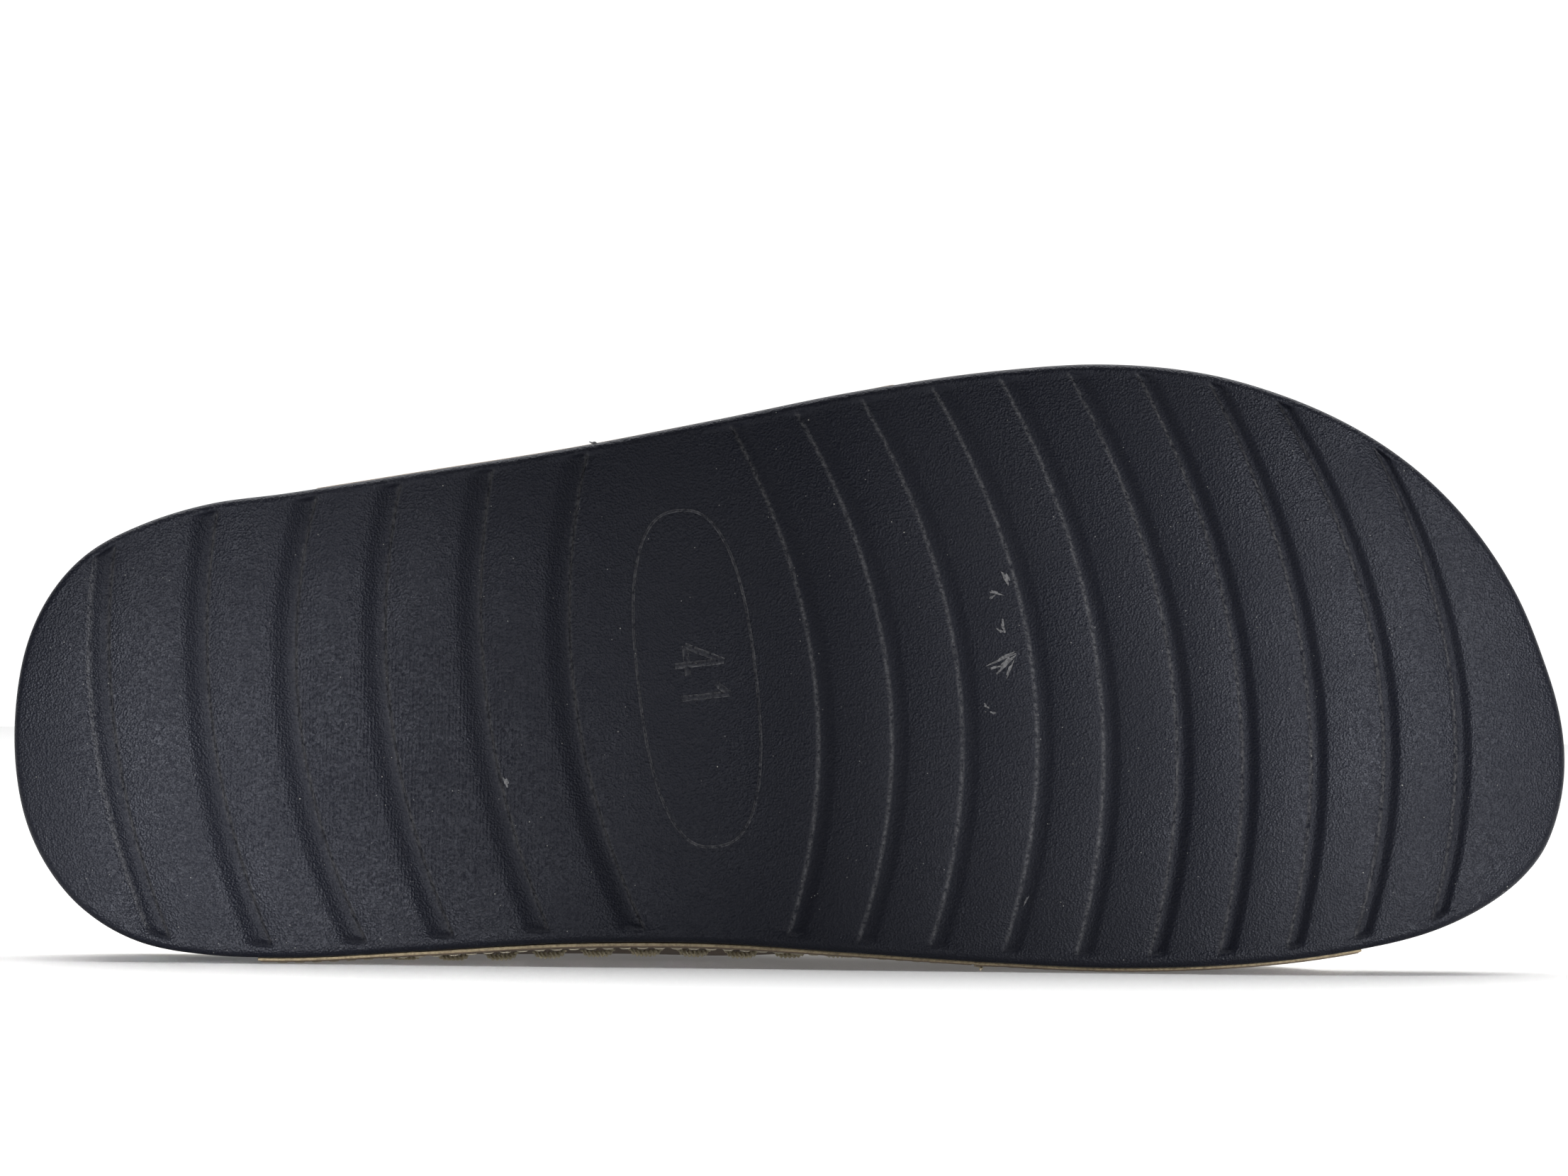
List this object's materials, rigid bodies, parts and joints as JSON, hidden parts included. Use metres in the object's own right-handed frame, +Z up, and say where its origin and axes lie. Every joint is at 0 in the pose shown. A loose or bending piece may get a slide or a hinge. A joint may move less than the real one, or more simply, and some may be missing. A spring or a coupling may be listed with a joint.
{
  "type": "cross-strap slipper",
  "caption": "Right-foot slide slipper lying on its medial side: grooved moulded sole, contoured footbed and crossing leather straps, open at toe and heel.",
  "frame": {"origin": "centre of the bounding box's bottom: the shoe lies on its medial side on the plane z = 0", "axes": "+X from heel to toe, +Z up across the shoe's width from its medial to its lateral side, -Y the way the tread faces, leaned back about 4 degrees"},
  "size_m": [0.273, 0.0976, 0.1073],
  "materials": {
    "sole_rubber": "satin",
    "footbed_leather": "matte",
    "strap_leather": "satin"
  },
  "bodies": {
    "root": {"outsole": "sole_rubber", "insole": "footbed_leather", "upper": "strap_leather"}
  },
  "joints": []
}
